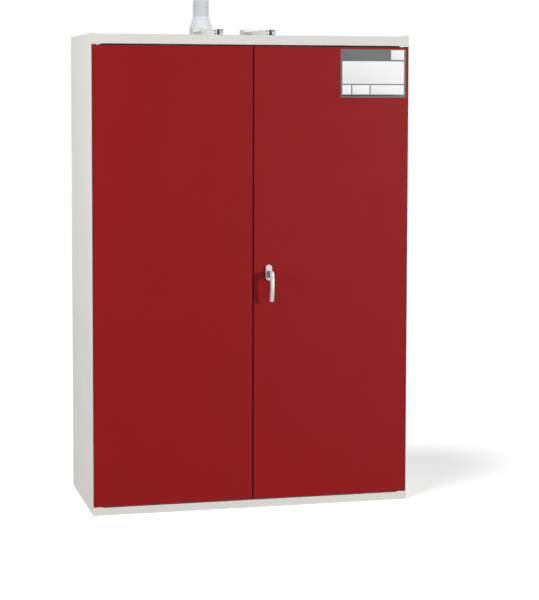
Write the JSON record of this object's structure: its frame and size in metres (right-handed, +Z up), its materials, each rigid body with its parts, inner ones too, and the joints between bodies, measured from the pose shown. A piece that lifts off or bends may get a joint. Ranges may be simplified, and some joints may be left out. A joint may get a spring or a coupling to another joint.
{
  "type": "gas cylinder safety cabinet",
  "caption": "Tall fire-rated cabinet with two hinged doors, lever lock, air valves and pipe stub on the roof, and a lined bay with rails for pressurised-gas cylinders.",
  "frame": {"origin": "on the floor, under the middle of the cabinet's footprint", "axes": "+Z up, +X to the right-hand door, -Y out of the doors' faces"},
  "size_m": [1.398, 0.6932, 2.218],
  "materials": {
    "door_paint": "smooth satin powder coat",
    "shell_paint": "light grey fine-texture powder coat",
    "lining": "light grey washable sheet",
    "frame_steel": "grey powder coat",
    "fire_board": "raw fire-resisting board",
    "rubber": "black seal",
    "strip": "swelling strip",
    "zinc": "galvanised sheet",
    "bright_steel": "plain steel",
    "lever_metal": "silver lacquered casting",
    "brass": "lock plug",
    "pipe_plastic": "light grey pipe",
    "black_plastic": "black moulding"
  },
  "bodies": {
    "carcass": {"side_cladding_left": "shell_paint", "side_cladding_right": "shell_paint", "back_cladding": "shell_paint", "roof_cladding": "shell_paint", "fascia": "shell_paint", "plinth": "shell_paint", "base_pan": "shell_paint", "release_channel_exhaust": "shell_paint", "release_channel_supply": "shell_paint", "lining_left": "lining", "lining_right": "lining", "lining_back": "lining", "lining_roof": "lining", "lining_floor": "lining", "supply_duct": "lining", "frame_post_left": "frame_steel", "frame_post_right": "frame_steel", "frame_head": "frame_steel", "frame_sill": "frame_steel", "wall_board_left": "fire_board", "wall_board_right": "fire_board", "back_board": "fire_board", "floor_board": "fire_board", "roof_board": "fire_board", "fire_strips": "strip", "valve_housing_exhaust": "zinc", "valve_housing_supply": "zinc", "valve_collar_exhaust": "zinc", "valve_collar_supply": "zinc", "back_rails": "zinc", "cylinder_cradles": "zinc", "hinge_brackets": "zinc", "ramp_pins": "zinc", "release_clamps": "zinc", "earth_stud": "bright_steel", "reducer": "pipe_plastic", "exhaust_pipe": "pipe_plastic", "release_blocks": "black_plastic"},
    "left_door": {"door_skin_left": "door_paint", "door_core_left": "fire_board", "door_liner_left": "lining", "door_gasket_left": "rubber", "door_bushes_left": "bright_steel"},
    "right_door": {"door_skin_right": "door_paint", "door_core_right": "fire_board", "door_liner_right": "lining", "door_gasket_right": "rubber", "door_bushes_right": "bright_steel", "lock_case": "zinc", "rosette": "lever_metal"},
    "lever": {"handle": "lever_metal"},
    "lock_plug": {"key_plug": "brass"},
    "upper_bolt": {"bolt_upper": "bright_steel"},
    "lower_bolt": {"bolt_lower": "bright_steel"},
    "exhaust_damper": {"damper_exhaust": "bright_steel"},
    "supply_damper": {"damper_supply": "bright_steel"},
    "roll_in_ramp": {"ramp": "zinc"}
  },
  "joints": [
    {"name": "left_door_swing", "type": "hinge", "parent": "carcass", "child": "left_door", "pos_m": [-0.6705, -0.298, 1], "axis": [0, 0, -1], "range_deg": [0, 120]},
    {"name": "right_door_swing", "type": "hinge", "parent": "carcass", "child": "right_door", "pos_m": [0.6705, -0.298, 1], "axis": [0, 0, 1], "range_deg": [0, 120]},
    {"name": "lever_turn", "type": "hinge", "parent": "right_door", "child": "lever", "pos_m": [0.068, -0.308, 1.0265], "axis": [0, -1, 0], "range_deg": [0, 90]},
    {"name": "key_turn", "type": "hinge", "parent": "lever", "child": "lock_plug", "pos_m": [0.068, -0.372, 1.012], "axis": [0, -1, 0], "range_deg": [0, 90]},
    {"name": "upper_bolt_throw", "type": "slide", "parent": "right_door", "child": "upper_bolt", "axis": [0, 0, 1], "range_m": [0, 0.0141]},
    {"name": "lower_bolt_throw", "type": "slide", "parent": "right_door", "child": "lower_bolt", "axis": [0, 0, -1], "range_m": [0, 0.0141]},
    {"name": "exhaust_damper_turn", "type": "hinge", "parent": "carcass", "child": "exhaust_damper", "pos_m": [-0.123, 0.2, 2.003], "axis": [1, 0, 0], "range_deg": [0, 90]},
    {"name": "supply_damper_turn", "type": "hinge", "parent": "carcass", "child": "supply_damper", "pos_m": [0.112, 0.2, 2.003], "axis": [1, 0, 0], "range_deg": [0, 90]},
    {"name": "ramp_fold", "type": "hinge", "parent": "carcass", "child": "roll_in_ramp", "pos_m": [0, -0.193, 0.098], "axis": [1, 0, 0], "range_deg": [0, 85]}
  ],
  "couplings": [
    {"joint": "upper_bolt_throw", "follows": "lever_turn", "m_per_rad": 0.0089127},
    {"joint": "lower_bolt_throw", "follows": "lever_turn", "m_per_rad": 0.0089127}
  ]
}
